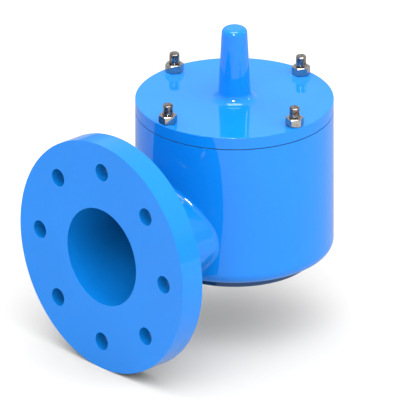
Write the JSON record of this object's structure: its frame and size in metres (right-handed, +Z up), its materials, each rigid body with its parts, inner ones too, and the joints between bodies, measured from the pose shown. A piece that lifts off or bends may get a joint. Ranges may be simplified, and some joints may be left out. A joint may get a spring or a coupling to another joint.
{
  "type": "vacuum relief valve",
  "caption": "Weight-loaded vacuum relief valve: round side flange, bolted cover with a tall stem guide, lifting pallet and a screened air inlet below.",
  "frame": {"origin": "centre of the tank flange's face", "axes": "-Y out of the flange's face towards the tank, +Z up along the valve's stem"},
  "size_m": [0.237, 0.2715, 0.3115],
  "materials": {
    "blue_paint": "high-gloss enamel over the castings",
    "dark_paint": "dark slate-blue gloss paint on the ring below",
    "polished_steel": "bright machined stainless steel",
    "bright_fasteners": "polished stainless fasteners",
    "cast_weight": "turned iron with a dull oiled skin",
    "cast_aluminium": "fine sand-cast skin, turned faces",
    "gasket_sheet": "pressed dark gasket sheet",
    "seal_rubber": "smooth elastomer",
    "bush_polymer": "off-white low-friction polymer",
    "screen_wire": "woven stainless wire"
  },
  "bodies": {
    "housing": {"valve_body": "blue_paint", "cover": "blue_paint", "cover_gasket": "gasket_sheet", "cover_studs": "bright_fasteners", "cover_nuts": "bright_fasteners", "seat_ring": "polished_steel", "seat_ring_gasket": "gasket_sheet", "seat_ring_screws": "bright_fasteners", "inlet_ring": "dark_paint", "inlet_ring_screws": "bright_fasteners", "inlet_screen": "screen_wire", "guide_bush": "bush_polymer", "guide_bush_screws": "bright_fasteners"},
    "pallet_assembly": {"stem": "polished_steel", "pallet": "cast_aluminium", "pallet_seal": "seal_rubber", "seal_retainer": "polished_steel", "retainer_screws": "bright_fasteners", "weight_disc_lower": "cast_weight", "weight_disc_middle": "cast_weight", "weight_disc_upper": "cast_weight", "weight_washer": "polished_steel", "weight_nut": "bright_fasteners", "weight_lock_nut": "bright_fasteners"}
  },
  "joints": [
    {"name": "pallet_lift", "type": "slide", "parent": "housing", "child": "pallet_assembly", "axis": [0, 0, 1], "range_m": [0, 0.025]}
  ]
}
